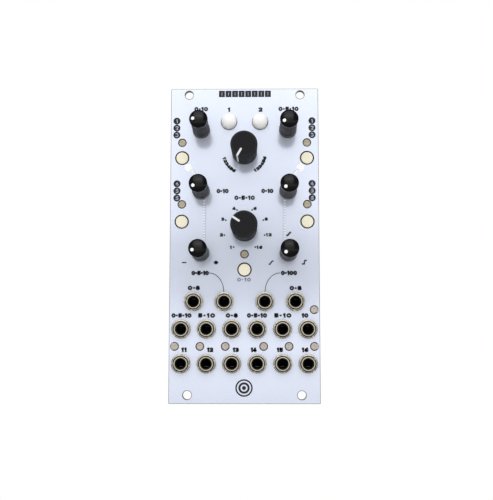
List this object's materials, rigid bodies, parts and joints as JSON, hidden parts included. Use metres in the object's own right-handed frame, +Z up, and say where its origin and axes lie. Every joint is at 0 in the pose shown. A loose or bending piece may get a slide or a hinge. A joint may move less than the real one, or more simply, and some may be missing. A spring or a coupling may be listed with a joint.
{
  "type": "eurorack module",
  "caption": "Synthesizer module: an upright aluminium panel with turning knobs, push buttons, indicator lights and rows of 3.5 mm sockets, with its circuit board behind.",
  "frame": {"origin": "centre of the four rack-screw holes, on the panel's rear face", "axes": "+Z up, +X to the right of a person facing the panel, +Y away from that person; the controls face -Y"},
  "size_m": [0.0606, 0.0422, 0.1285],
  "materials": {
    "panel_aluminium": "pale silver anodised, satin",
    "board": "green solder mask",
    "header": "matt black",
    "potentiometer": "dark, satin",
    "knob_matte": "fine matt black",
    "shaft": "satin",
    "knob_gloss": "gloss black",
    "button_cream": "cream, satin",
    "button_white": "white, satin",
    "jack": "nickel plated bushing",
    "jack_nut": "nickel plated"
  },
  "bodies": {
    "module": {"front_panel": "panel_aluminium", "control_board": "board", "power_header": "header", "potentiometer_large_upper": "potentiometer", "potentiometer_large_lower": "potentiometer", "potentiometer_slim_upper_left": "potentiometer", "potentiometer_slim_upper_right": "potentiometer", "potentiometer_slim_middle_left": "potentiometer", "potentiometer_slim_middle_right": "potentiometer", "potentiometer_slim_lower_left": "potentiometer", "potentiometer_slim_lower_right": "potentiometer", "jack_upper_1": "jack", "jack_upper_2": "jack", "jack_upper_3": "jack", "jack_upper_4": "jack", "jack_middle_1": "jack", "jack_middle_2": "jack", "jack_middle_3": "jack", "jack_middle_4": "jack", "jack_middle_5": "jack", "jack_middle_6": "jack", "jack_lower_1": "jack", "jack_lower_2": "jack", "jack_lower_3": "jack", "jack_lower_4": "jack", "jack_lower_5": "jack", "jack_lower_6": "jack", "jack_nut_upper_1": "jack_nut", "jack_nut_upper_2": "jack_nut", "jack_nut_upper_3": "jack_nut", "jack_nut_upper_4": "jack_nut", "jack_nut_middle_1": "jack_nut", "jack_nut_middle_2": "jack_nut", "jack_nut_middle_3": "jack_nut", "jack_nut_middle_4": "jack_nut", "jack_nut_middle_5": "jack_nut", "jack_nut_middle_6": "jack_nut", "jack_nut_lower_1": "jack_nut", "jack_nut_lower_2": "jack_nut", "jack_nut_lower_3": "jack_nut", "jack_nut_lower_4": "jack_nut", "jack_nut_lower_5": "jack_nut", "jack_nut_lower_6": "jack_nut"},
    "knob_large_upper": {"knob_large_upper": "knob_matte", "shaft_large_upper": "shaft"},
    "knob_large_lower": {"knob_large_lower": "knob_matte", "shaft_large_lower": "shaft"},
    "knob_slim_upper_left": {"knob_slim_upper_left": "knob_gloss"},
    "knob_slim_upper_right": {"knob_slim_upper_right": "knob_gloss"},
    "knob_slim_middle_left": {"knob_slim_middle_left": "knob_gloss"},
    "knob_slim_middle_right": {"knob_slim_middle_right": "knob_gloss"},
    "knob_slim_lower_left": {"knob_slim_lower_left": "knob_gloss"},
    "knob_slim_lower_right": {"knob_slim_lower_right": "knob_gloss"},
    "button_flush_upper_left": {"button_flush_upper_left": "button_cream"},
    "button_flush_upper_right": {"button_flush_upper_right": "button_cream"},
    "button_flush_lower_left": {"button_flush_lower_left": "button_cream"},
    "button_flush_lower_right": {"button_flush_lower_right": "button_cream"},
    "button_flush_centre": {"button_flush_centre": "button_cream"},
    "button_domed_left": {"button_domed_left": "button_white"},
    "button_domed_right": {"button_domed_right": "button_white"}
  },
  "joints": [
    {"name": "turn_large_upper", "type": "hinge", "parent": "module", "child": "knob_large_upper", "pos_m": [0, 0, 0.03693], "axis": [0, 1, 0], "range_deg": [0, 300]},
    {"name": "turn_large_lower", "type": "hinge", "parent": "module", "child": "knob_large_lower", "pos_m": [0, 0, 0.00531], "axis": [0, 1, 0], "range_deg": [-93, 207]},
    {"name": "turn_slim_upper_left", "type": "hinge", "parent": "module", "child": "knob_slim_upper_left", "pos_m": [-0.01776, 0, 0.04645], "axis": [0, 1, 0], "range_deg": [-60, 240]},
    {"name": "turn_slim_upper_right", "type": "hinge", "parent": "module", "child": "knob_slim_upper_right", "pos_m": [0.01776, 0, 0.04645], "axis": [0, 1, 0], "range_deg": [-34, 266]},
    {"name": "turn_slim_middle_left", "type": "hinge", "parent": "module", "child": "knob_slim_middle_left", "pos_m": [-0.01776, 0, 0.02105], "axis": [0, 1, 0], "range_deg": [-31, 269]},
    {"name": "turn_slim_middle_right", "type": "hinge", "parent": "module", "child": "knob_slim_middle_right", "pos_m": [0.01776, 0, 0.02105], "axis": [0, 1, 0], "range_deg": [-14, 286]},
    {"name": "turn_slim_lower_left", "type": "hinge", "parent": "module", "child": "knob_slim_lower_left", "pos_m": [-0.01776, 0, -0.00435], "axis": [0, 1, 0], "range_deg": [-42, 258]},
    {"name": "turn_slim_lower_right", "type": "hinge", "parent": "module", "child": "knob_slim_lower_right", "pos_m": [0.01776, 0, -0.00435], "axis": [0, 1, 0], "range_deg": [-16, 284]},
    {"name": "press_flush_upper_left", "type": "slide", "parent": "module", "child": "button_flush_upper_left", "axis": [0, 1, 0], "range_m": [0, 0.00025], "stiffness_N_per_m": 6400},
    {"name": "press_flush_upper_right", "type": "slide", "parent": "module", "child": "button_flush_upper_right", "axis": [0, 1, 0], "range_m": [0, 0.00025], "stiffness_N_per_m": 6400},
    {"name": "press_flush_lower_left", "type": "slide", "parent": "module", "child": "button_flush_lower_left", "axis": [0, 1, 0], "range_m": [0, 0.00025], "stiffness_N_per_m": 6400},
    {"name": "press_flush_lower_right", "type": "slide", "parent": "module", "child": "button_flush_lower_right", "axis": [0, 1, 0], "range_m": [0, 0.00025], "stiffness_N_per_m": 6400},
    {"name": "press_flush_centre", "type": "slide", "parent": "module", "child": "button_flush_centre", "axis": [0, 1, 0], "range_m": [0, 0.00025], "stiffness_N_per_m": 6400},
    {"name": "press_domed_left", "type": "slide", "parent": "module", "child": "button_domed_left", "axis": [0, 1, 0], "range_m": [0, 0.00025], "stiffness_N_per_m": 6400},
    {"name": "press_domed_right", "type": "slide", "parent": "module", "child": "button_domed_right", "axis": [0, 1, 0], "range_m": [0, 0.00025], "stiffness_N_per_m": 6400}
  ]
}
